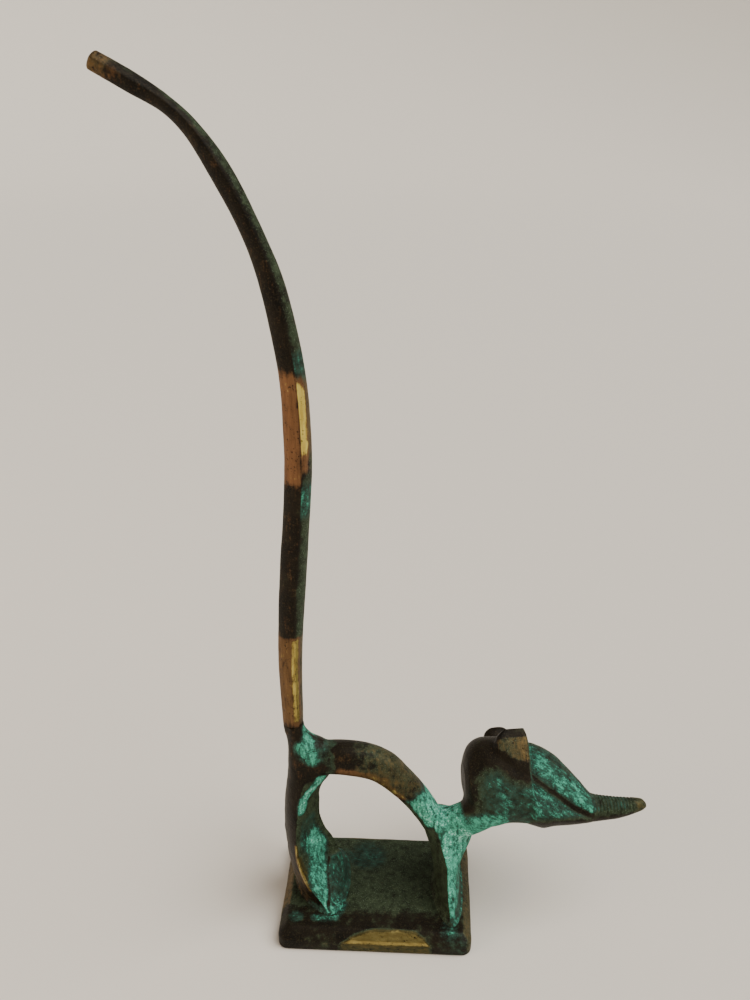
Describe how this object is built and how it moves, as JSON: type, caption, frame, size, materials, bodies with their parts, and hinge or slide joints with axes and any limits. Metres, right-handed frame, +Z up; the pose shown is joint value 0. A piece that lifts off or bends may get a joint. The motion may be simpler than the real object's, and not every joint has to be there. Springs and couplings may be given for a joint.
{
  "type": "cat figurine",
  "caption": "Patinated brass cat with a tall upright tail and a tilted head, standing on a bevelled rectangular plinth, for display or to hold rings on its tail.",
  "frame": {"origin": "middle of the plinth's underside", "axes": "+Z up, +X towards the cat's snout, +Y towards the cat's left side"},
  "size_m": [0.0999, 0.0296, 0.1693],
  "materials": {
    "dark_patina": "dark brown patina, rubbed bright in bands",
    "green_patina": "crusted verdigris over dark patina",
    "rubbed_brass": "rubbed brass",
    "steel": "plain"
  },
  "bodies": {
    "root": {"base_plinth": "dark_patina", "hindquarter": "dark_patina", "back_arch": "dark_patina", "forequarter": "green_patina", "head": "green_patina", "right_ear": "rubbed_brass", "left_ear": "rubbed_brass", "tail": "dark_patina", "tail_pin": "steel", "rump_pin": "steel", "shoulder_pin": "steel", "neck_pin": "steel", "right_ear_peg": "rubbed_brass", "left_ear_peg": "rubbed_brass", "hind_foot_screw": "steel", "fore_foot_screw": "steel"}
  },
  "joints": []
}
